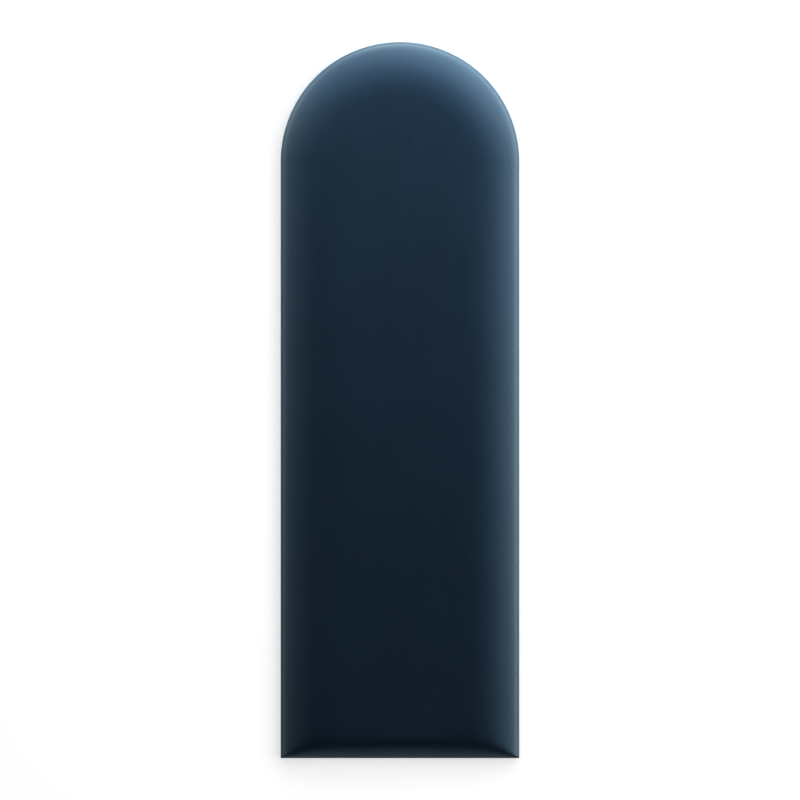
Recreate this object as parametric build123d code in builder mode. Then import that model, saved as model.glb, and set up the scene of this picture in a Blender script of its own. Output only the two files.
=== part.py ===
"""An arched, upholstered wall panel on two pairs of interlocking hook rails, in millimetres.

A plywood board carries a slab of foam and a layer of wadding, and a velvet cover is
pulled over them, turned round the board's edge and stapled to its back. Two aluminium
hook rails screwed to the board drop into two matching rails on the wall, so the panel
lifts up and comes off. Three rubber bumpers keep its back parallel to the wall.

X runs along the wall, Y points into the wall and Z is up. The wall's surface is Y = 0
and the panel stands out from it towards -Y. The origin is the middle of the upper wall
rail's two screw holes, on the wall's surface.
"""

import os
from math import cos, pi, sin

from build123d import *

# Driving dimensions: the finished panel
panel_width = 300.0
panel_height = 900.0
upper_rail_above_foot = 690.0  # from the panel's lower edge to the upper wall rail's holes

# The layers, from the wall outwards
stand_off = 5.0  # gap between the wall and the board
board_thickness = 12.0
foam_thickness = 30.0
wadding_thickness = 3.0
velvet_thickness = 1.0
foam_edge_radius = 25.0

# The velvet's turned edge and the staples that hold it
return_width = 30.0  # how far the velvet reaches over the board's back
staple_crown = 9.5
staple_leg = 8.0
staple_wire = (0.8, 0.6)  # width and thickness of the flattened wire
staple_inset = 19.0  # from the panel's outline to the line of staples
side_staples = 19
foot_staples = 7
arch_staples = 21

# The hook rails: one extruded section, used on the wall and upside down on the board
rail_gauge = 2.0
hook_slot = 2.7  # depth of the slot behind the hook
hook_reach = 14.0
flange_below = 14.0  # flange from the screw line to its free edge
flange_above = 8.0  # flange from the screw line to the slot's floor
rail_clearance = 0.1  # between one hook's tip and the other rail's slot floor
wall_rail_length = 180.0
panel_rail_length = 200.0
rail_spacing = 560.0  # from the upper wall rail down to the lower one
wall_hole_radius = 2.5
wall_hole_spacing = 120.0
panel_hole_radius = 2.2
panel_hole_spacing = 80.0

# Pan-head wood screws that hold the rails to the board
shank_radius = 1.9
pilot_radius = 1.95
screw_length = 11.0  # under the head, with its point
point_length = 3.0
head_radius = 3.9
head_height = 2.3
recess_width = 1.0
recess_length = 4.4
recess_depth = 1.3

# Rubber bumpers on the board's back
bumper_radius = 10.0
bumper_height = 4.7
bumper_bevel = 1.2
lower_bumper_offset = 92.0
lower_bumper_above_foot = 52.0
upper_bumper_below_crown = 62.0

# Worked out from the driving dimensions
arch_radius = panel_width / 2
foot_z = -upper_rail_above_foot
crown_z = foot_z + panel_height
spring_z = crown_z - arch_radius  # where the straight sides end and the arch begins
board_front = stand_off + board_thickness
foam_front = board_front + foam_thickness
wadding_front = foam_front + wadding_thickness
velvet_front = wadding_front + velvet_thickness
velvet_back = stand_off - velvet_thickness
board_inset = velvet_thickness + wadding_thickness
wadding_edge_radius = foam_edge_radius + wadding_thickness
velvet_edge_radius = wadding_edge_radius + velvet_thickness
hook_tip = flange_above + hook_reach
panel_rail_line = hook_tip + rail_clearance + flange_above  # above the wall rail's holes


def arch_outline(inset):
    """The arched outline as a flat sketch, drawn in by inset all round."""
    half = arch_radius - inset
    with BuildSketch() as outline:
        with BuildLine():
            Polyline(
                (-half, spring_z),
                (-half, foot_z + inset),
                (half, foot_z + inset),
                (half, spring_z),
            )
            ThreePointArc((half, spring_z), (0, spring_z + half), (-half, spring_z))
        make_face()
    return outline.sketch


def layer(inset, back, front, edge_radius=0.0):
    """An arched block from back to front, with its front edge rounded."""
    with BuildPart() as block:
        with BuildSketch(Plane.XZ.offset(back)):
            add(arch_outline(inset))
        extrude(amount=front - back)
        if edge_radius:
            fillet(block.faces().sort_by(Axis.Y)[0].edges(), radius=edge_radius)
    return block.part


def screw_places(rail_z):
    """The middle of each of one panel rail's screw holes, as (x, z), by its place on the rail."""
    return {
        "left": (-panel_hole_spacing, rail_z),
        "middle": (0.0, rail_z),
        "right": (panel_hole_spacing, rail_z),
    }


panel_rail_heights = {"upper": panel_rail_line, "lower": panel_rail_line - rail_spacing}
all_screw_places = [
    place for rail_z in panel_rail_heights.values() for place in screw_places(rail_z).values()
]

finished = {}


def finish(block, label):
    """Labels a finished piece and keeps it for export."""
    block.part.label = label
    finished[label] = block.part


# The plywood board, with a pilot hole for each rail screw and its edges eased
edge_ease = 0.8
pilot_depth = screw_length - rail_gauge + 0.5
with BuildPart() as backing_board:
    with BuildSketch(Plane.XZ.offset(stand_off)):
        add(arch_outline(board_inset))
    extrude(amount=board_thickness)
    chamfer(backing_board.faces().sort_by(Axis.Y)[-1].edges(), length=edge_ease)
    with BuildSketch(Plane.XZ.offset(stand_off)):
        with Locations(*all_screw_places):
            Circle(pilot_radius)
    extrude(amount=pilot_depth, mode=Mode.SUBTRACT)
finish(backing_board, "backing_board")

# The foam slab that covers the board's front, rounded over along its front edge
with BuildPart() as foam_core:
    add(layer(board_inset, board_front, foam_front, foam_edge_radius))
finish(foam_core, "foam_core")

# The wadding, wrapped over the foam and down the board's edge
with BuildPart() as wadding_layer:
    add(layer(velvet_thickness, stand_off, wadding_front, wadding_edge_radius))
    add(layer(board_inset, stand_off, foam_front, foam_edge_radius), mode=Mode.SUBTRACT)
finish(wadding_layer, "wadding_layer")

# The velvet cover, with the edge that is turned on to the board's back
with BuildPart() as velvet_cover:
    add(layer(0, velvet_back, velvet_front, velvet_edge_radius))
    add(layer(velvet_thickness, stand_off, wadding_front, wadding_edge_radius), mode=Mode.SUBTRACT)
    with BuildSketch(Plane.XZ.offset(velvet_back)):
        add(arch_outline(board_inset + return_width))
    extrude(amount=velvet_thickness, mode=Mode.SUBTRACT)
finish(velvet_cover, "velvet_cover")


def staple_plane(x, z, along):
    """A plane on the velvet's back with its X axis along the staple's crown."""
    return Plane(origin=(x, -velvet_back, z), x_dir=(cos(along), 0, sin(along)), z_dir=(0, 1, 0))


def staple_runs():
    """The planes of the staples in each run: up either side, along the foot and round the arch."""
    side_x = arch_radius - staple_inset
    foot_line = foot_z + staple_inset
    side_step = (spring_z - foot_line) / side_staples
    foot_step = 2 * side_x / (foot_staples + 1)
    arch_step = pi / arch_staples
    side_heights = [foot_line + (i + 0.5) * side_step for i in range(side_staples)]
    foot_places = [-side_x + (i + 1) * foot_step for i in range(foot_staples)]
    turns = [(i + 0.5) * arch_step for i in range(arch_staples)]
    return {
        "left_side_staples": [staple_plane(-side_x, z, pi / 2) for z in side_heights],
        "right_side_staples": [staple_plane(side_x, z, pi / 2) for z in side_heights],
        "foot_staples": [staple_plane(x, foot_line, 0) for x in foot_places],
        "arch_staples": [
            staple_plane(side_x * cos(turn), spring_z + side_x * sin(turn), turn + pi / 2)
            for turn in turns
        ],
    }


def staple():
    """One staple with its crown along X on Z = 0 and its legs pointing down."""
    wire_width, wire_depth = staple_wire
    with BuildPart() as wire:
        with BuildSketch():
            Rectangle(staple_crown, wire_width)
        extrude(amount=wire_depth)
        with BuildSketch():
            with GridLocations(staple_crown - wire_depth, 0, 2, 1):
                Rectangle(wire_depth, wire_width)
        extrude(amount=-staple_leg)
    return wire.part


# The staples: a flattened-wire crown on the velvet and two legs driven into the board
for label, planes in staple_runs().items():
    with BuildPart() as staples:
        with Locations(*planes):
            add(staple())
    finish(staples, label)


def rail_section():
    """The hook rail's section, with its flange on Y = 0 and its hook pointing up."""
    hook_back, hook_front = -hook_slot, -hook_slot - rail_gauge
    with BuildSketch() as section:
        with BuildLine():
            Polyline(
                (0, -flange_below),
                (0, flange_above),
                (hook_back, flange_above),
                (hook_back, hook_tip),
                (hook_front, hook_tip),
                (hook_front, flange_above - rail_gauge),
                (-rail_gauge, flange_above - rail_gauge),
                (-rail_gauge, -flange_below),
                close=True,
            )
        make_face()
    return section.sketch


corner_break = 0.4  # radius on the extrusion's edges


def rail_blank(length):
    """A length of hook rail as extruded, undrilled, with every long edge broken."""
    with BuildPart() as blank:
        with BuildSketch(Plane.YZ):
            add(rail_section())
        extrude(amount=length / 2, both=True)
        fillet(blank.edges().filter_by(Axis.X), radius=corner_break)
    return blank.part


# The wall's rails: the hook points up and the flange is drilled for two wall screws
for label, rail_z in (("upper_wall_rail", 0.0), ("lower_wall_rail", -rail_spacing)):
    with BuildPart() as wall_rail:
        with Locations((0, 0, rail_z)):
            add(rail_blank(wall_rail_length))
        with BuildSketch(Plane.XZ):
            with Locations((-wall_hole_spacing / 2, rail_z), (wall_hole_spacing / 2, rail_z)):
                Circle(wall_hole_radius)
        extrude(amount=rail_gauge, mode=Mode.SUBTRACT)
    finish(wall_rail, label)

# The board's rails: the same section upside down, so that its hook drops behind the wall's
for row, rail_z in panel_rail_heights.items():
    with BuildPart() as panel_rail:
        with Locations(Location((0, -stand_off, rail_z), (180, 0, 0))):
            add(rail_blank(panel_rail_length))
        with BuildSketch(Plane.XZ.offset(stand_off - rail_gauge)):
            with Locations(*screw_places(rail_z).values()):
                Circle(panel_hole_radius)
        extrude(amount=rail_gauge, mode=Mode.SUBTRACT)
    finish(panel_rail, f"{row}_panel_rail")


def rail_screw():
    """One pan-head wood screw along -Z, with the underside of its head on Z = 0."""
    crown_radius = head_height * 0.62
    with BuildPart() as screw:
        with BuildSketch():
            Circle(head_radius)
        extrude(amount=head_height)
        fillet(screw.faces().sort_by(Axis.Z)[-1].edges(), radius=crown_radius)
        with BuildSketch():
            Circle(shank_radius)
        extrude(amount=-(screw_length - point_length))
        with BuildSketch(Plane.XZ):
            with BuildLine():
                Polyline(
                    (0, -(screw_length - point_length)),
                    (shank_radius, -(screw_length - point_length)),
                    (0, -screw_length),
                    close=True,
                )
            make_face()
        revolve(axis=Axis.Z)
        with BuildSketch(Plane.XY.offset(head_height)):
            Rectangle(recess_length, recess_width)
            Rectangle(recess_width, recess_length)
        extrude(amount=-recess_depth, mode=Mode.SUBTRACT)
    return screw.part


# The screws through the board's rails, heads towards the wall
for row, rail_z in panel_rail_heights.items():
    for side, (x, z) in screw_places(rail_z).items():
        with BuildPart() as screw_in_place:
            with Locations(Location((x, rail_gauge - stand_off, z), (-90, 0, 0))):
                add(rail_screw())
        finish(screw_in_place, f"{row}_{side}_rail_screw")

# The bumpers: one near the crown and one in each lower corner
bumper_places = {
    "crown_bumper": (0.0, crown_z - upper_bumper_below_crown),
    "left_bumper": (-lower_bumper_offset, foot_z + lower_bumper_above_foot),
    "right_bumper": (lower_bumper_offset, foot_z + lower_bumper_above_foot),
}
for label, middle in bumper_places.items():
    with BuildPart() as bumper:
        with BuildSketch(Plane.XZ.offset(stand_off)):
            with Locations(middle):
                Circle(bumper_radius)
        extrude(amount=-bumper_height)
        chamfer(bumper.faces().sort_by(Axis.Y)[-1].edges(), length=bumper_bevel)
    finish(bumper, label)

os.makedirs("parts", exist_ok=True)
for label, piece in finished.items():
    export_step(piece, f"parts/{label}.step")
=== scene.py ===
"""Looks of an arched, velvet-covered wall panel that hangs on two pairs of hook rails.

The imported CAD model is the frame: X along the wall, +Y into it, +Z up, in metres, with the
wall's surface at Y = 0. The soft layers are rebuilt here, from the velvet inwards; the board,
the rails, the screws, the staples and the bumpers keep their CAD meshes.
"""

from math import atan2, cos, exp, hypot, pi, radians, sin

import bmesh
import bpy
from mathutils import Matrix, Vector, noise
from mathutils.bvhtree import BVHTree


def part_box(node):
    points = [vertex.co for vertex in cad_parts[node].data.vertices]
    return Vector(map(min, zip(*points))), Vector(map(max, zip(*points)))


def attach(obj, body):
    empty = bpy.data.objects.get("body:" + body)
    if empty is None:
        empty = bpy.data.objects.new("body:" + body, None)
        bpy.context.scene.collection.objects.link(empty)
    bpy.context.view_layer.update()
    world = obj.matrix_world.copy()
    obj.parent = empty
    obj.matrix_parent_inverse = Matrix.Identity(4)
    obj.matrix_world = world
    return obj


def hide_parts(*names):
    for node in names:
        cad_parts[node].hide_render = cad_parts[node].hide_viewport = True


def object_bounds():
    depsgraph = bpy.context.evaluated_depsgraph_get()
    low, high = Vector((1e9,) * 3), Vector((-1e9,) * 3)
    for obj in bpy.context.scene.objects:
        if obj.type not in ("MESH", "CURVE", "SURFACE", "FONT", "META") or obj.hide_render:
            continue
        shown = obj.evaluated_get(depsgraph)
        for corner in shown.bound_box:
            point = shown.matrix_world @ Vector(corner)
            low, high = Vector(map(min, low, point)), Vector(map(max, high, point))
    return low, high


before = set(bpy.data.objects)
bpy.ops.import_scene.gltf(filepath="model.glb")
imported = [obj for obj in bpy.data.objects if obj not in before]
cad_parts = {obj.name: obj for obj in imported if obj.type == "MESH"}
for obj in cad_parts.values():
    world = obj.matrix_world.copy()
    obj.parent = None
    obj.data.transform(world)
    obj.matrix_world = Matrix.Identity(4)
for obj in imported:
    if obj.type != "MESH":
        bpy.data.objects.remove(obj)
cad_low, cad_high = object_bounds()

scene = bpy.context.scene


def mm(length):
    """A length in millimetres, in the scene's metres."""
    return length / 1000


# ---------------------------------------------------------------- the panel's outline
# The board is sawn to a half-round top on straight sides, with a square foot, and every soft
# layer follows it. One function draws that outline and another draws it in.
cover_low, cover_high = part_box("velvet_cover")
arch_radius = cover_high.x
spring_z = cover_high.z - arch_radius
side_height = spring_z - cover_low.z

corner_steps = [mm(s) for s in (24, 18, 13, 9, 6, 4, 2.6, 1.6, 0.9, 0.4, 0)]  # left to a corner
cell = mm(4)


def steps_to_corner(length):
    """Distances from one end to a corner length away: even cells, then finer ones at the corner."""
    even = round((length - corner_steps[0]) / cell)
    run = length - corner_steps[0]
    return [run * (i + 1) / even for i in range(even)] + [length - s for s in corner_steps[1:]]


def draw_outline(mesh, depth, arch_cells):
    """Draws the panel's outline, depth out from the wall, as one closed loop of edges."""
    down = steps_to_corner(side_height)
    across = steps_to_corner(arch_radius)
    half = [(arch_radius, spring_z - d) for d in down]
    half += [(x, cover_low.z) for x in [0] + across[:-1]][::-1]
    tip = bmesh.ops.create_vert(mesh, co=(arch_radius, -depth, spring_z))["vert"][0]
    turned = bmesh.ops.spin(
        mesh, geom=[tip], cent=(0, 0, spring_z), axis=(0, -1, 0), angle=pi, steps=arch_cells
    )
    first = tip
    tip = next(v for v in turned["geom_last"] if isinstance(v, bmesh.types.BMVert))
    left = [(-x, z) for x, z in half]
    for x, z in left + half[::-1][1:]:
        tip = bmesh.ops.extrude_vert_indiv(mesh, verts=[tip])["verts"][0]
        tip.co = (x, -depth, z)
    mesh.edges.new((tip, first))
    return list(mesh.edges)


def draw_in(verts, inset_now, inset_next, depth):
    """Moves a loop that lies inset_now inside the outline to inset_next, depth out from the wall."""
    across = (arch_radius - inset_next) / (arch_radius - inset_now)
    down = (side_height - inset_next) / (side_height - inset_now)
    for v in verts:
        rise = v.co.z - spring_z
        v.co = (v.co.x * across, -depth, spring_z + rise * (across if rise > 0 else down))


def draw_layer(mesh, edges, profile, inset_now=0.0):
    """Extrudes a loop of edges along a profile of (inset, depth) pairs and returns its last edges."""
    for inset, depth in profile:
        grown = bmesh.ops.extrude_edge_only(mesh, edges=edges)["geom"]
        verts = [g for g in grown if isinstance(g, bmesh.types.BMVert)]
        draw_in(verts, inset_now, inset, depth)
        fresh = set(verts)
        edges = [g for g in grown if isinstance(g, bmesh.types.BMEdge) and fresh.issuperset(g.verts)]
        inset_now = inset
    return edges


def as_object(mesh, name):
    """Turns a bmesh into an object at the origin, with its faces outwards and shaded smooth."""
    bmesh.ops.recalc_face_normals(mesh, faces=mesh.faces)
    for face in mesh.faces:
        face.smooth = True
    data = bpy.data.meshes.new(name)
    mesh.to_mesh(data)
    mesh.free()
    piece = bpy.data.objects.new(name, data)
    scene.collection.objects.link(piece)
    return piece


# ---------------------------------------------------------------- velvet cover
# Upholstery velvet: short polyester pile on a knitted back, a millimetre thick. It is pulled
# over the padding, turned round the board's edge and stapled; round the arch the spare cloth
# is laid in a tuck between each pair of staples, and each foot corner has one folded tuck.
velvet_thickness = mm(1)
cover_back = -cover_high.y
cover_front = -cover_low.y
wrap_end = mm(19)  # up to here the cloth lies tight against the board's edge
start_front = mm(39.5)  # the padding's face before the cloth is tightened
start_radius = mm(25)
pad_arch_cells = 60
pad_cell = mm(5)
pressure = 1.0
cloth_frames = 20
pinned_up_to = mm(16)
pin_fade = mm(8)
furthest = mm(14)


def settle(piece):
    """Applies every modifier of a piece to its mesh."""
    graph = bpy.context.evaluated_depsgraph_get()
    done = bpy.data.meshes.new_from_object(piece.evaluated_get(graph))
    piece.modifiers.clear()
    piece.data = done


def pulled_pad():
    """The padded form: a block that the cloth simulation swells against its pinned edge."""
    mesh = bmesh.new()
    loop = draw_outline(mesh, cover_back, pad_arch_cells)
    bmesh.ops.contextual_create(mesh, geom=loop)
    rise = start_front - wrap_end
    turns = [radians(a) for a in range(10, 91, 10)]
    shoulder = [(start_radius * (1 - cos(a)), wrap_end + rise * sin(a)) for a in turns]
    rim = draw_layer(mesh, loop, [(0.0, wrap_end)] + shoulder)
    bmesh.ops.contextual_create(mesh, geom=rim)
    pad = as_object(mesh, "pulled_pad")
    remesh = pad.modifiers.new("even_cells", "REMESH")
    remesh.mode = "VOXEL"
    remesh.voxel_size = pad_cell
    settle(pad)
    swell(pad)
    smoother = pad.modifiers.new("creases_out", "SMOOTH")
    smoother.factor = 0.5
    smoother.iterations = 12
    pad.modifiers.new("rounder", "SUBSURF").levels = 1
    settle(pad)
    return pad


def swell(pad):
    """Inflates the pad with its back and edge pinned, and moves no point further than furthest."""
    start = [v.co.copy() for v in pad.data.vertices]
    pins = pad.vertex_groups.new(name="pins")
    for v in pad.data.vertices:
        loose = (-v.co.y - pinned_up_to) / pin_fade
        pins.add([v.index], 1 - min(1.0, max(0.0, loose)), "REPLACE")
    cloth = pad.modifiers.new("velvet", "CLOTH")
    cloth.settings.vertex_group_mass = "pins"
    cloth.settings.use_pressure = True
    cloth.settings.uniform_pressure_force = pressure
    cloth.settings.effector_weights.gravity = 0
    cloth.settings.quality = 6
    cloth.point_cache.frame_end = cloth_frames
    for step in range(1, cloth_frames + 1):
        scene.frame_set(step)
    settle(pad)
    scene.frame_set(1)
    for v, before in zip(pad.data.vertices, start):
        move = v.co - before
        if move.length > furthest:
            v.co = before + move * (furthest / move.length)


lay_fade = mm(4)


def lay_on(piece, pad):
    """Lays the cloth's face and shoulders on the swollen pad."""
    free = piece.vertex_groups.new(name="free")
    for v in piece.data.vertices:
        loose = (-v.co.y - wrap_end) / lay_fade
        free.add([v.index], min(1.0, max(0.0, loose)), "REPLACE")
    lay = piece.modifiers.new("on_the_pad", "SHRINKWRAP")
    lay.target = pad
    lay.wrap_mode = "ABOVE_SURFACE"
    lay.vertex_group = "free"
    settle(piece)
    piece.vertex_groups.clear()


shoulder_width = mm(70)
shoulder_rings = 22
ring_crowding = 1.15  # above 1, the rings crowd towards the edge, where the cloth bends most
roll_fullness = 1.15
face_step = mm(14)
middle_gap = mm(15)  # from the last ring to the middle of the face


def shoulder_profile():
    """Insets and depths from the board's edge over the shoulder and on to the face."""
    rise = cover_front - wrap_end
    shares = [i / shoulder_rings for i in range(1, shoulder_rings + 1)]
    angles = [radians(90 * share**ring_crowding) for share in shares]
    rings = [
        (shoulder_width * (1 - cos(a) ** roll_fullness), wrap_end + rise * sin(a)) for a in angles
    ]
    last = rings[-1][0]
    while last + face_step < arch_radius - middle_gap:
        last += face_step
        rings.append((last, cover_front))
    return rings


def smooth_step(start, end, value):
    """0 before start and 1 after end, with an even rise between them."""
    share = min(1.0, max(0.0, (value - start) / (end - start)))
    return share * share * (3 - 2 * share)


even_run = mm(120)  # how far up and down the sides' middle the settled profile is averaged
wave_height = mm(0.35)
wave_length = mm(75)
wave_fade = mm(6)
foot_tightness = 3.0
corner_blend = 3.0
touching = mm(0.01)


def insets(place):
    """How far inside the outline a place lies: from the side or the arch, and from the foot."""
    rise = place.z - spring_z
    to_side = arch_radius - (hypot(place.x, rise) if rise > 0 else abs(place.x))
    return to_side, place.z - cover_low.z


def even_out(piece, drawn, rings):
    """Carries the sides' mean settled profile round the arch and into the foot corners, as the
    cloth's even pull does, and returns it as (inset, depth) pairs. Each ring has equally many
    vertices, and they were made ring by ring."""
    ring_size = len(drawn) // (len(rings) + 1)
    middle = spring_z - side_height / 2
    settled = [[] for _ in rings]
    for i, v in enumerate(piece.data.vertices):
        if i >= ring_size and abs(drawn[i].z - middle) < even_run:
            settled[i // ring_size - 1].append((arch_radius - abs(v.co.x), -v.co.y))
    profile = [tuple(sum(c) / len(c) for c in zip(*found)) for found in settled]
    flat = rings[-1][0]
    for number, (inset, _) in enumerate(rings):
        level = smooth_step(shoulder_width, flat, inset)
        depth = profile[number][1]
        profile[number] = profile[number][0], depth + (profile[-1][1] - depth) * level
    for i, v in enumerate(piece.data.vertices):
        number = i // ring_size - 1
        if number >= 0 and rings[number][1] > wrap_end:
            v.co = drawn[i]
            draw_in([v], min(insets(v.co)), *profile[number])
    return [place for place, ring in zip(profile, rings) if ring[1] > wrap_end]


def depth_at(profile, inset):
    """The depth of a profile at an inset."""
    for (near, low), (far, high) in zip(profile, profile[1:]):
        if inset < far:
            return low + (high - low) * max(0.0, inset - near) / (far - near)
    return profile[-1][1]


def soften(mesh, profile):
    """Makes the roll over the foot tighter than at the sides, rounds the foot corners over, as
    padding does, and gives the face its slow waves."""
    edge = profile[0][0]
    for v in mesh.verts:
        to_side, to_foot = insets(v.co)
        inset = min(to_side, to_foot)
        if -v.co.y > wrap_end + touching and inset > touching:
            tight = edge + max(0.0, to_foot - edge) * foot_tightness
            rounded = (to_side**-corner_blend + tight**-corner_blend) ** (-1 / corner_blend)
            v.co.y -= depth_at(profile, rounded) - depth_at(profile, inset)
        wave = wave_height * noise.noise(Vector((v.co.x, 0, v.co.z)) / wave_length)
        v.co.y -= wave * smooth_step(wrap_end, cover_front - wave_fade, -v.co.y)


cover_arch_cells = 420
return_width = mm(34)
edge_rings = [(mm(1.2), mm(4.05)), (mm(0.45), mm(4.35)), (mm(0.1), mm(5)), (0.0, mm(6))]
wall_rings = [(0.0, mm(d)) for d in (9, 12, 15, 17)]
return_rings = [(mm(i), cover_back) for i in (32.5, 30, 27, 24, 21.5, 19, 16.5, 13.5, 10.5, 7.5, 5, 3)]
tucks = 21
tuck_lift = mm(2.2)
tuck_start = mm(2)  # in from the board's edge, and deepest at the cut edge
tuck_slope = mm(6)
tuck_edge = mm(1.1)
fold_lift = mm(1)
fold_edge = mm(0.5)
fold_start = mm(5)
fold_reach = mm(20)
fold_fade = mm(5)
fold_margin = mm(2)
pile_loft = mm(0.45)
staple_dent = mm(3.2)
staple_pull = mm(0.35)
staple_to_edge = mm(19)
pull_width = mm(3)
pull_start, pull_end = mm(5), mm(17)  # the depths between which the pull dies away
edge_back = mm(4.3)
cut_sway, cut_sway_length = mm(1.1), mm(26)
cut_nick, cut_nick_length = mm(0.35), mm(5)
staple_runs = ("left_side_staples", "right_side_staples", "foot_staples", "arch_staples")


def staple_crowns():
    """A search tree over the driven staples, which press the cloth down."""
    mesh = bmesh.new()
    for run in staple_runs:
        mesh.from_mesh(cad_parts[run].data)
    crowns = BVHTree.FromBMesh(mesh)
    mesh.free()
    return crowns


def arch_tuck(place):
    """How far the tucks round the arch lift the turned cloth: a slow rise, then a folded edge."""
    rise = place.z - spring_z
    if rise <= 0:
        return 0.0
    turn = atan2(rise, place.x)
    side = 1 if turn < pi / 2 else -1
    out = hypot(rise, place.x)
    offset = side * ((turn * tucks / pi + 0.5) % 1 - 0.5) * pi * out / tucks
    deep = smooth_step(tuck_start, return_width, arch_radius - out)
    if offset < 0:
        return tuck_lift * deep * smooth_step(-tuck_slope, 0, offset)
    return tuck_lift * deep * (1 - smooth_step(0, tuck_edge, offset))


def corner_fold(place):
    """How far the foot's turned cloth lies above the side's, beyond the fold at each foot corner."""
    to_side = arch_radius - abs(place.x)
    to_foot = place.z - cover_low.z
    over = to_side - to_foot
    if to_foot > return_width + fold_margin or over <= 0:
        return 0.0
    start = smooth_step(0, fold_edge, over) * smooth_step(0, fold_start, to_foot)
    return fold_lift * start * (1 - smooth_step(fold_reach, fold_reach + fold_fade, over))


def fasten_down(mesh):
    """Shapes the turned cloth: lofty pile sunk under the staples, tucks and folds, and the slight
    scallops that the staples pull into the edge."""
    crowns = staple_crowns()
    for v in mesh.verts:
        depth = -v.co.y
        near = crowns.find_nearest(v.co)[3]
        if depth < cover_back + touching:
            loft = pile_loft * (1 - exp(-((near / staple_dent) ** 2)))
            v.co.y += loft + max(arch_tuck(v.co), corner_fold(v.co))
        pull = exp(-(((near - staple_to_edge) / pull_width) ** 2))
        pull = pull * (1 - smooth_step(pull_start, pull_end, depth))
        if edge_back < depth < wrap_end:
            draw_in([v], 0.0, staple_pull * pull, depth)


def trim_by_hand(verts):
    """Makes the scissors' line along the cut edge wander a little."""
    for v in verts:
        sway = cut_sway * noise.noise(v.co / cut_sway_length)
        nick = cut_nick * noise.noise(v.co / cut_nick_length)
        draw_in([v], return_width, return_width + (sway + nick), -v.co.y)


def velvet_cover(pad):
    """The cloth as one sheet, from its cut edge on the board's back to the middle of the face, and
    the profile that its shoulder and face follow."""
    mesh = bmesh.new()
    loop = draw_outline(mesh, cover_back, cover_arch_cells)
    cut_edge = list(mesh.verts)
    draw_in(cut_edge, 0.0, return_width, cover_back)
    rings = return_rings + edge_rings + wall_rings + [(0.0, wrap_end)] + shoulder_profile()
    rim = draw_layer(mesh, loop, rings, return_width)
    bmesh.ops.triangle_fill(mesh, edges=rim, use_beauty=True)
    trim_by_hand(cut_edge)
    fasten_down(mesh)
    cover = as_object(mesh, "velvet_cover_pulled")
    drawn = [v.co.copy() for v in cover.data.vertices]
    lay_on(cover, pad)
    profile = even_out(cover, drawn, rings)
    mesh = bmesh.new()
    mesh.from_mesh(cover.data)
    soften(mesh, profile)
    mesh.to_mesh(cover.data)
    mesh.free()
    return cover, profile


pad = pulled_pad()
cover, cover_profile = velvet_cover(pad)
bpy.data.objects.remove(pad)
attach(cover, "panel")
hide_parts("velvet_cover")


def linear(colour):
    """An sRGB hex colour as linear red, green, blue and alpha."""
    parts = [int(colour[i : i + 2], 16) / 255 for i in (1, 3, 5)]
    return [p / 12.92 if p <= 0.04045 else ((p + 0.055) / 1.055) ** 2.4 for p in parts] + [1.0]


def add(tree, kind, inputs=None, **settings):
    """Adds a node, sets its properties, and gives each named input a value or a link."""
    node = tree.nodes.new(kind)
    for name, value in settings.items():
        setattr(node, name, value)
    for name, value in (inputs or {}).items():
        if isinstance(value, bpy.types.NodeSocket):
            tree.links.new(value, node.inputs[name])
        else:
            node.inputs[name].default_value = value
    return node


def start_material(name):
    """An empty material and its node tree, with the object coordinates."""
    material = bpy.data.materials.new(name)
    material.use_nodes = True
    tree = material.node_tree
    tree.nodes.clear()
    return material, tree, add(tree, "ShaderNodeTexCoord").outputs["Object"]


def finish_material(tree, shader):
    """Links a shader to the material's surface."""
    add(tree, "ShaderNodeOutputMaterial", {"Surface": shader.outputs[0]})


# Polyester upholstery velvet, knitted, cut and brushed. The face is dark, because the eye looks
# down between the upright fibres; their sides catch the light towards the edges as sheen. The
# nap lies in soft patches and faint upright streaks, and a few tufts are parted by handling.
nap_patch = mm(55)
brush_streak = mm(5)
pile_clump = mm(1.7)  # single fibres are 0.02 mm, so clumps of pile are drawn, as coarse as shows
parted_spacing = mm(24)
parted_size = mm(1.6)
least_shade, nap_share, streak_share, pile_share = 0.1, 0.45, 0.12, 0.3
shade_low, shade_high = "#0f2941", "#153653"


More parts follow.
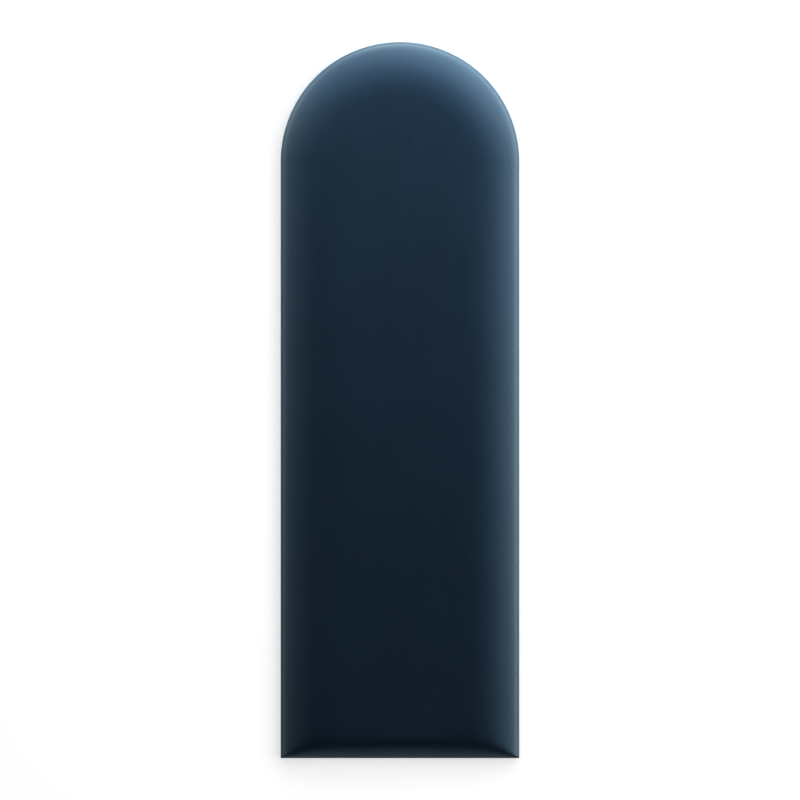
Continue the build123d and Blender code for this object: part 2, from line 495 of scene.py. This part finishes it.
def velvet():
    material, tree, place = start_material("knitted_cut_pile_velvet")
    brushed = add(tree, "ShaderNodeMapping", {"Vector": place, "Scale": (1, 1, 0.35)}).outputs[0]
    nap = add(
        tree,
        "ShaderNodeTexNoise",
        {"Vector": brushed, "Scale": 1 / nap_patch, "Detail": 3.0, "Roughness": 0.55},
    ).outputs[0]
    upright = add(tree, "ShaderNodeMapping", {"Vector": place, "Scale": (1, 1, 0.07)}).outputs[0]
    streaks = add(
        tree, "ShaderNodeTexNoise", {"Vector": upright, "Scale": 1 / brush_streak, "Detail": 2.0}
    ).outputs[0]
    pile = add(
        tree,
        "ShaderNodeTexNoise",
        {"Vector": place, "Scale": 1 / pile_clump, "Detail": 3.0, "Roughness": 0.7},
    ).outputs[0]
    shade = least_shade
    for layer, share in ((nap, nap_share), (streaks, streak_share), (pile, pile_share)):
        shade = add(
            tree, "ShaderNodeMath", {0: layer, 1: share, 2: shade}, operation="MULTIPLY_ADD"
        ).outputs[0]
    colour = add(tree, "ShaderNodeValToRGB", {"Fac": shade})
    colour.color_ramp.elements[0].position = 0.25
    colour.color_ramp.elements[0].color = linear(shade_low)
    colour.color_ramp.elements[1].position = 0.8
    colour.color_ramp.elements[1].color = linear(shade_high)
    tufts = add(tree, "ShaderNodeTexVoronoi", {"Vector": place, "Scale": 1 / parted_spacing})
    parted = add(
        tree,
        "ShaderNodeMapRange",
        {
            "Value": tufts.outputs["Distance"],
            "From Min": 0.3 * parted_size / parted_spacing,
            "From Max": parted_size / parted_spacing,
            "To Min": 0.55,
            "To Max": 1.0,
        },
    ).outputs[0]
    flecked = add(
        tree,
        "ShaderNodeMix",
        {0: 1.0, 6: colour.outputs[0], 7: parted},
        data_type="RGBA",
        blend_type="MULTIPLY",
    ).outputs[2]
    bump = add(
        tree, "ShaderNodeBump", {"Height": pile, "Strength": 0.3, "Distance": mm(0.4)}
    ).outputs[0]
    shader = add(
        tree,
        "ShaderNodeBsdfPrincipled",
        {
            "Base Color": flecked,
            "Roughness": 0.9,
            "Specular IOR Level": 0.1,
            "Sheen Weight": 1.0,
            "Sheen Roughness": 0.45,
            "Sheen Tint": linear("#cfeae4"),
            "Normal": bump,
        },
    )
    finish_material(tree, shader)
    return material


# The velvet's knitted polyester back, seen only at the cut edge: dull, in fine rows of loops.
knit_row = mm(0.8)


def knitted_back():
    material, tree, place = start_material("knitted_polyester_backing")
    rows = add(
        tree,
        "ShaderNodeTexWave",
        {"Vector": place, "Scale": pi / (10 * knit_row), "Distortion": 2.0, "Detail": 1.0},
        bands_direction="Z",
    ).outputs[0]
    colour = add(
        tree,
        "ShaderNodeMix",
        {0: rows, 6: linear("#1a2733"), 7: linear("#3a4855")},
        data_type="RGBA",
    ).outputs[2]
    bump = add(tree, "ShaderNodeBump", {"Height": rows, "Strength": 0.5, "Distance": mm(0.2)}).outputs[0]
    finish_material(
        tree,
        add(tree, "ShaderNodeBsdfPrincipled", {"Base Color": colour, "Roughness": 0.95, "Normal": bump}),
    )
    return material


cover.data.materials.clear()
cover.data.materials.append(velvet())
cover.data.materials.append(knitted_back())
thicken = cover.modifiers.new("cloth_thickness", "SOLIDIFY")
thicken.thickness = velvet_thickness
thicken.offset = -1
thicken.material_offset = 1
thicken.material_offset_rim = 1

# ---------------------------------------------------------------- wadding
# Bonded polyester fibre, 3 mm thick, that stops the foam from rubbing the velvet. It is wrapped
# over the foam and down the board's edge, and the velvet's pull holds it.
wadding_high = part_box("wadding_layer")[1]
foam_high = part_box("foam_core")[1]
hairline = mm(0.15)  # left between one layer and the next
wadding_thickness = wadding_high.x - foam_high.x - 2 * hairline
wadding_lift = mm(0.2)
inner_arch_cells = 90
straight_rings = 4


def inner_layer(name, inside, back):
    """One open sheet that lies that far inside the cover, from depth back to the middle of the
    face: straight up to the shoulder, then square in from each point of the cover's profile."""
    points = [(0.0, wrap_end)] + cover_profile
    steps = range(1, straight_rings + 1)
    rings = [(inside, back + (wrap_end - back) * i / straight_rings) for i in steps]
    for before, here, after in zip(points, points[1:], points[2:] + points[-1:]):
        along = Vector(after) - Vector(before)
        out = Vector((-along.y, along.x)).normalized()
        ring = Vector(here) - out * inside
        if ring.y > wrap_end and ring.x > rings[-1][0]:
            rings.append(tuple(ring))
    mesh = bmesh.new()
    loop = draw_outline(mesh, back, inner_arch_cells)
    draw_in(mesh.verts, 0.0, inside, back)
    rim = draw_layer(mesh, loop, rings, inside)
    bmesh.ops.triangle_fill(mesh, edges=rim, use_beauty=True)
    soften(mesh, rings[straight_rings:])
    return as_object(mesh, name)


wadding = inner_layer("wadding_pulled", velvet_thickness + hairline, -wadding_high.y + wadding_lift)
thicken = wadding.modifiers.new("wadding_thickness", "SOLIDIFY")
thicken.thickness = wadding_thickness
thicken.offset = -1
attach(wadding, "panel")
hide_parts("wadding_layer")

# Bonded polyester wadding: white crimped fibres, laid every way and fused by heat, so it is dull
# and slightly fluffy, with thick and thin places.
fibre_tangle = mm(2.2)
thin_place = mm(18)


def bonded_wadding():
    material, tree, place = start_material("bonded_polyester_wadding")
    tangle = add(
        tree,
        "ShaderNodeTexNoise",
        {"Vector": place, "Scale": 1 / fibre_tangle, "Detail": 5.0, "Distortion": 2.5},
    ).outputs[0]
    thin = add(tree, "ShaderNodeTexNoise", {"Vector": place, "Scale": 1 / thin_place}).outputs[0]
    shade = add(tree, "ShaderNodeMath", {0: thin, 1: 0.5, 2: tangle}, operation="MULTIPLY_ADD").outputs[0]
    colour = add(tree, "ShaderNodeValToRGB", {"Fac": shade})
    colour.color_ramp.elements[0].position = 0.5
    colour.color_ramp.elements[0].color = linear("#d9dad6")
    colour.color_ramp.elements[1].position = 0.95
    colour.color_ramp.elements[1].color = linear("#f6f6f3")
    bump = add(tree, "ShaderNodeBump", {"Height": tangle, "Strength": 0.6, "Distance": mm(0.6)}).outputs[0]
    shader = add(
        tree,
        "ShaderNodeBsdfPrincipled",
        {
            "Base Color": colour.outputs[0],
            "Roughness": 0.95,
            "Sheen Weight": 0.25,
            "Sheen Roughness": 0.6,
            "Normal": bump,
        },
    )
    finish_material(tree, shader)
    return material


wadding.data.materials.append(bonded_wadding())

# ---------------------------------------------------------------- foam
# A slab of polyurethane foam, 30 mm thick, glued to the board's front. The velvet's pull rounds
# its edge over.
board_front = -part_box("backing_board")[0].y
foam = inner_layer("foam_pulled", cover_high.x - foam_high.x + hairline, board_front + hairline)
mesh = bmesh.new()
mesh.from_mesh(foam.data)
bmesh.ops.holes_fill(mesh, edges=[e for e in mesh.edges if e.is_boundary])
bmesh.ops.recalc_face_normals(mesh, faces=mesh.faces)
mesh.to_mesh(foam.data)
mesh.free()
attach(foam, "panel")
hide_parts("foam_core")

# Polyurethane foam, cut from a block with a hot wire: pale cream, matt, with open cells whose hollows are
# painted darker as shade.
foam_bubble = mm(1.1)  # true cells are 0.5 mm, drawn as coarse as shows


def cut_foam():
    material, tree, place = start_material("cut_polyurethane_foam")
    cells = add(tree, "ShaderNodeTexVoronoi", {"Vector": place, "Scale": 1 / foam_bubble}).outputs[0]
    # The cell distance sets the colour as well as the bump: darker in each hollow where the bump sinks,
    # which is painted shade.
    colour = add(
        tree,
        "ShaderNodeMix",
        {0: cells, 6: linear("#d9cc9f"), 7: linear("#f3ebcb")},
        data_type="RGBA",
    ).outputs[2]
    bump = add(tree, "ShaderNodeBump", {"Height": cells, "Strength": 0.7, "Distance": mm(0.5)}).outputs[0]
    finish_material(
        tree,
        add(tree, "ShaderNodeBsdfPrincipled", {"Base Color": colour, "Roughness": 1.0, "Normal": bump}),
    )
    return material


foam.data.materials.append(cut_foam())

# ---------------------------------------------------------------- backing board
# Birch plywood, 12 mm thick in nine plies, sawn to the arch and bored for the rail screws. Its
# face veneer is peeled from the log, so the grain runs up the board in broad, soft figure.
figure_width = mm(26)
fibre_width = mm(0.9)
fleck_spacing = mm(7)
fleck_size = mm(0.5)
board_thickness = mm(12)
ply_thickness = board_thickness / 9


def birch_plywood():
    material, tree, place = start_material("sanded_birch_plywood")
    broad = add(
        tree, "ShaderNodeMapping", {"Vector": place, "Scale": (1, 1, 0.09), "Location": (0.37, 0, 0.11)}
    ).outputs[0]
    figure = add(
        tree,
        "ShaderNodeTexNoise",
        {"Vector": broad, "Scale": 1 / figure_width, "Detail": 2.0, "Distortion": 1.3},
    ).outputs[0]
    rings = add(tree, "ShaderNodeMath", {0: figure, 1: 0.07}, operation="PINGPONG").outputs[0]
    rings = add(tree, "ShaderNodeMath", {0: rings, 1: 14.0}, operation="MULTIPLY").outputs[0]
    long = add(tree, "ShaderNodeMapping", {"Vector": place, "Scale": (1, 1, 0.02)}).outputs[0]
    fibres = add(
        tree, "ShaderNodeTexNoise", {"Vector": long, "Scale": 1 / fibre_width, "Detail": 4.0}
    ).outputs[0]
    shade = add(tree, "ShaderNodeMath", {0: rings, 1: 0.28, 2: 0.12}, operation="MULTIPLY_ADD").outputs[0]
    shade = add(tree, "ShaderNodeMath", {0: fibres, 1: 0.6, 2: shade}, operation="MULTIPLY_ADD").outputs[0]
    face = add(tree, "ShaderNodeValToRGB", {"Fac": shade})
    face.color_ramp.elements[0].position = 0.25
    face.color_ramp.elements[0].color = linear("#cbae84")
    face.color_ramp.elements[1].position = 0.85
    face.color_ramp.elements[1].color = linear("#dcc7a2")
    short = add(tree, "ShaderNodeMapping", {"Vector": place, "Scale": (1, 1, 0.28)}).outputs[0]
    flecks = add(tree, "ShaderNodeTexVoronoi", {"Vector": short, "Scale": 1 / fleck_spacing}).outputs[0]
    fleck = add(
        tree,
        "ShaderNodeMapRange",
        {
            "Value": flecks,
            "From Min": 0.0,
            "From Max": fleck_size / fleck_spacing,
            "To Min": 0.72,
            "To Max": 1.0,
        },
    ).outputs[0]
    flecked = add(
        tree,
        "ShaderNodeMix",
        {0: 1.0, 6: face.outputs[0], 7: fleck},
        data_type="RGBA",
        blend_type="MULTIPLY",
    ).outputs[2]
    depth = add(tree, "ShaderNodeSeparateXYZ", {"Vector": place}).outputs["Y"]
    ply = add(tree, "ShaderNodeMath", {0: depth, 1: ply_thickness}, operation="PINGPONG").outputs[0]
    cross = add(
        tree, "ShaderNodeMath", {0: ply, 1: ply_thickness / 2}, operation="GREATER_THAN"
    ).outputs[0]
    plies = add(
        tree,
        "ShaderNodeMix",
        {0: cross, 6: linear("#e0c79c"), 7: linear("#a9814f")},
        data_type="RGBA",
    ).outputs[2]
    facing = add(tree, "ShaderNodeNewGeometry").outputs["Normal"]
    facing = add(tree, "ShaderNodeSeparateXYZ", {"Vector": facing}).outputs["Y"]
    facing = add(tree, "ShaderNodeMath", {0: facing}, operation="ABSOLUTE").outputs[0]
    colour = add(
        tree, "ShaderNodeMix", {0: facing, 6: plies, 7: flecked}, data_type="RGBA"
    ).outputs[2]
    bump = add(tree, "ShaderNodeBump", {"Height": fibres, "Strength": 0.25, "Distance": mm(0.15)}).outputs[0]
    finish_material(
        tree,
        add(tree, "ShaderNodeBsdfPrincipled", {"Base Color": colour, "Roughness": 0.62, "Normal": bump}),
    )
    return material


def refinish(names, material):
    """Gives CAD nodes a finish, and leaves their meshes alone."""
    for name in names:
        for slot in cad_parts[name].material_slots:
            slot.material = material


refinish(["backing_board"], birch_plywood())

# ---------------------------------------------------------------- hook rails
# One aluminium section, extruded, sawn and drilled: two lengths hang the panel from two more on
# the wall. The mill finish is soft and silvery, with fine lines along the run from the die.
die_line = mm(0.5)
handling_patch = mm(35)


def extruded_aluminium():
    material, tree, place = start_material("mill_finish_extruded_aluminium")
    along = add(tree, "ShaderNodeMapping", {"Vector": place, "Scale": (0.008, 1, 1)}).outputs[0]
    lines = add(
        tree, "ShaderNodeTexNoise", {"Vector": along, "Scale": 1 / die_line, "Detail": 3.0}
    ).outputs[0]
    patch = add(
        tree, "ShaderNodeTexNoise", {"Vector": place, "Scale": 1 / handling_patch, "Detail": 3.0}
    ).outputs[0]
    colour = add(
        tree, "ShaderNodeMix", {0: lines, 6: linear("#bcbfc2"), 7: linear("#d9dbdd")}, data_type="RGBA"
    ).outputs[2]
    gloss = add(tree, "ShaderNodeMath", {0: patch, 1: 0.2, 2: 0.26}, operation="MULTIPLY_ADD").outputs[0]
    gloss = add(tree, "ShaderNodeMath", {0: lines, 1: 0.12, 2: gloss}, operation="MULTIPLY_ADD").outputs[0]
    bump = add(tree, "ShaderNodeBump", {"Height": lines, "Strength": 0.35, "Distance": mm(0.04)}).outputs[0]
    shader = add(
        tree,
        "ShaderNodeBsdfPrincipled",
        {"Base Color": colour, "Metallic": 1.0, "Roughness": gloss, "Normal": bump},
    )
    finish_material(tree, shader)
    return material


rails = ("upper_wall_rail", "lower_wall_rail", "upper_panel_rail", "lower_panel_rail")
refinish(rails, extruded_aluminium())

# ---------------------------------------------------------------- rail screws
# Pan-head wood screws, three to a rail, of cold-headed steel. The zinc plating and its blue
# passivation leave them brighter and cooler than the rails, with a slightly clouded gloss.
plating_cloud = mm(1.5)


def zinc_plated_steel():
    material, tree, place = start_material("zinc_plated_steel")
    cloud = add(
        tree, "ShaderNodeTexNoise", {"Vector": place, "Scale": 1 / plating_cloud, "Detail": 3.0}
    ).outputs[0]
    colour = add(
        tree, "ShaderNodeMix", {0: cloud, 6: linear("#b9c0c9"), 7: linear("#dadcdc")}, data_type="RGBA"
    ).outputs[2]
    gloss = add(tree, "ShaderNodeMath", {0: cloud, 1: 0.2, 2: 0.16}, operation="MULTIPLY_ADD").outputs[0]
    bump = add(tree, "ShaderNodeBump", {"Height": cloud, "Strength": 0.1, "Distance": mm(0.1)}).outputs[0]
    shader = add(
        tree,
        "ShaderNodeBsdfPrincipled",
        {"Base Color": colour, "Metallic": 1.0, "Roughness": gloss, "Normal": bump},
    )
    finish_material(tree, shader)
    return material


screws = [f"{row}_{side}_rail_screw" for row in ("upper", "lower") for side in ("left", "middle", "right")]
refinish(screws, zinc_plated_steel())

# ---------------------------------------------------------------- staples
# Flattened, galvanised steel wire, driven by an air gun in four runs round the board's back. The
# crowns are dull grey, scuffed a little by the driver.
scuff = mm(0.8)


def galvanised_wire():
    material, tree, place = start_material("galvanised_staple_wire")
    scuffs = add(tree, "ShaderNodeTexNoise", {"Vector": place, "Scale": 1 / scuff, "Detail": 4.0}).outputs[0]
    colour = add(
        tree, "ShaderNodeMix", {0: scuffs, 6: linear("#8f9498"), 7: linear("#c4c7c8")}, data_type="RGBA"
    ).outputs[2]
    gloss = add(tree, "ShaderNodeMath", {0: scuffs, 1: 0.3, 2: 0.25}, operation="MULTIPLY_ADD").outputs[0]
    shader = add(
        tree, "ShaderNodeBsdfPrincipled", {"Base Color": colour, "Metallic": 1.0, "Roughness": gloss}
    )
    finish_material(tree, shader)
    return material


refinish(staple_runs, galvanised_wire())

# ---------------------------------------------------------------- bumpers
# Moulded rubber discs, glued to the board's back so that the panel stands off the wall all over.
# Carbon black makes them nearly black, and the mould's blasted face leaves them matt.
mould_grain = mm(0.45)
bloom_patch = mm(6)


def moulded_rubber():
    material, tree, place = start_material("moulded_black_rubber")
    grain = add(tree, "ShaderNodeTexNoise", {"Vector": place, "Scale": 1 / mould_grain}).outputs[0]
    bloom = add(
        tree, "ShaderNodeTexNoise", {"Vector": place, "Scale": 1 / bloom_patch, "Detail": 4.0}
    ).outputs[0]
    colour = add(
        tree, "ShaderNodeMix", {0: bloom, 6: linear("#141516"), 7: linear("#2d2e2f")}, data_type="RGBA"
    ).outputs[2]
    bump = add(tree, "ShaderNodeBump", {"Height": grain, "Strength": 0.4, "Distance": mm(0.1)}).outputs[0]
    finish_material(
        tree,
        add(tree, "ShaderNodeBsdfPrincipled", {"Base Color": colour, "Roughness": 0.72, "Normal": bump}),
    )
    return material


refinish(("crown_bumper", "left_bumper", "right_bumper"), moulded_rubber())

# ---------------------------------------------------------------- stage
# A white wall that the panel hangs on, and a pale floor. From behind, the wall isn't there, so
# that the panel's back shows. Both glow a little, as they would in a bright, white room.
panel_middle = (cad_low.z + cad_high.z) / 2
floor_below = 0.41  # from the panel's foot
wall_width, floor_width = 12.0, 14.0
wall_glow, floor_glow = 0.47, 0.35


def plane(name, width, place, upright):
    """A flat stage piece: a wall that faces -Y, or a floor that faces up."""
    mesh = bmesh.new()
    bmesh.ops.create_grid(mesh, x_segments=1, y_segments=1, size=width / 2)
    if upright:
        bmesh.ops.rotate(mesh, verts=mesh.verts, cent=(0, 0, 0), matrix=Matrix.Rotation(pi / 2, 3, "X"))
    bmesh.ops.translate(mesh, verts=mesh.verts, vec=place)
    data = bpy.data.meshes.new(name)
    mesh.to_mesh(data)
    mesh.free()
    piece = bpy.data.objects.new(name, data)
    scene.collection.objects.link(piece)
    return piece


def matt_paint(name, colour, glow):
    """A matt paint that also gives off some light, seen from its front side only."""
    material, tree, _ = start_material(name)
    paint = add(
        tree,
        "ShaderNodeBsdfPrincipled",
        {
            "Base Color": linear(colour),
            "Roughness": 1.0,
            "Specular IOR Level": 0.0,
            "Emission Color": (1, 1, 1, 1),
            "Emission Strength": glow,
        },
    )
    gone = add(tree, "ShaderNodeBsdfTransparent")
    back = add(tree, "ShaderNodeNewGeometry").outputs["Backfacing"]
    faces = {0: back, 1: paint.outputs[0], 2: gone.outputs[0]}
    finish_material(tree, add(tree, "ShaderNodeMixShader", faces))
    return material


wall = plane("wall", wall_width, (0, 0, 0), True)
floor = plane("floor", floor_width, (0, 0, cad_low.z - floor_below), False)
wall.data.materials.append(matt_paint("white_wall_paint", "#f4f4f4", wall_glow))
floor.data.materials.append(matt_paint("pale_floor_paint", "#e6e6e4", floor_glow))
for ray in ("visible_shadow", "visible_diffuse", "visible_glossy", "visible_transmission"):
    setattr(wall, ray, False)
    setattr(floor, ray, False)

# The room is pale where it is seen or mirrored, and lights the cloth itself only faintly.
seen, mirrored, ambient = 0.9, 0.6, 0.05
world = bpy.data.worlds.new("pale_room")
scene.world = world
world.use_nodes = True
tree = world.node_tree
rays = add(tree, "ShaderNodeLightPath")
strength = add(
    tree, "ShaderNodeMix", {0: rays.outputs["Is Glossy Ray"], 2: ambient, 3: mirrored}
).outputs[0]
strength = add(
    tree, "ShaderNodeMix", {0: rays.outputs["Is Camera Ray"], 2: strength, 3: seen}
).outputs[0]
tree.nodes["Background"].inputs["Color"].default_value = (1, 1, 1, 1)
tree.links.new(strength, tree.nodes["Background"].inputs["Strength"])

# Soft lamps. Two wide ones light only the wall and floor, and the panel throws its soft shadow to
# the lower left in them. The rest light only the panel: they stand round it close to the wall's
# plane, the strongest at the upper right, so that they graze the pile and its edges shine.
room = bpy.data.collections.new("room")
panel_only = bpy.data.collections.new("all_but_room")
for piece in (wall, floor):
    room.objects.link(piece)
    panel_only.objects.link(piece)
for member in panel_only.collection_objects:
    member.light_linking.link_state = "EXCLUDE"


def lamp(name, place, size, watts, receivers):
    """A soft square lamp aimed at the panel's middle."""
    data = bpy.data.lights.new(name, "AREA")
    data.shape = "SQUARE"
    data.size = size
    data.energy = watts
    stand = bpy.data.objects.new(name, data)
    stand.location = place
    aim = Vector((0, 0, panel_middle)) - Vector(place)
    stand.rotation_euler = aim.to_track_quat("-Z", "Y").to_euler()
    stand.visible_camera = False
    stand.light_linking.receiver_collection = receivers
    scene.collection.objects.link(stand)


lamp("wall_wash", (0, -1.6, panel_middle), 4.0, 22, room)
lamp("wall_wash_right", (0.9, -1.6, 0.5), 3.5, 34, room)
lamp("upper_right", (1.66, 0.5, 1.42), 1.0, 114, panel_only)
lamp("upper_right_edge", (1.7, 0, 1.46), 1.0, 26, panel_only)
lamp("upper_left", (-1.66, 0.5, 1.42), 1.0, 30, panel_only)
lamp("over_crown", (0, -0.15, 0.9), 0.6, 17, panel_only)
lamp("right_side", (0.8, -0.2, 0.1), 0.6, 4.2, panel_only)
lamp("left_side", (-0.8, -0.2, 0), 0.6, 1.6, panel_only)
lamp("under_foot", (0, 0, cad_low.z - 0.36), 0.3, 0.35, panel_only)

# The camera stands level with the panel's middle, square on to the wall.
camera_distance = 6.0
frame_width = 1.0084
camera = bpy.data.objects.new("camera", bpy.data.cameras.new("camera"))
camera.location = (0, -camera_distance, panel_middle)
camera.rotation_euler = (pi / 2, 0, 0)
camera.data.lens = camera.data.sensor_width * camera_distance / frame_width
camera.data.clip_end = 50
scene.collection.objects.link(camera)
scene.camera = camera
scene.view_settings.view_transform = "Standard"
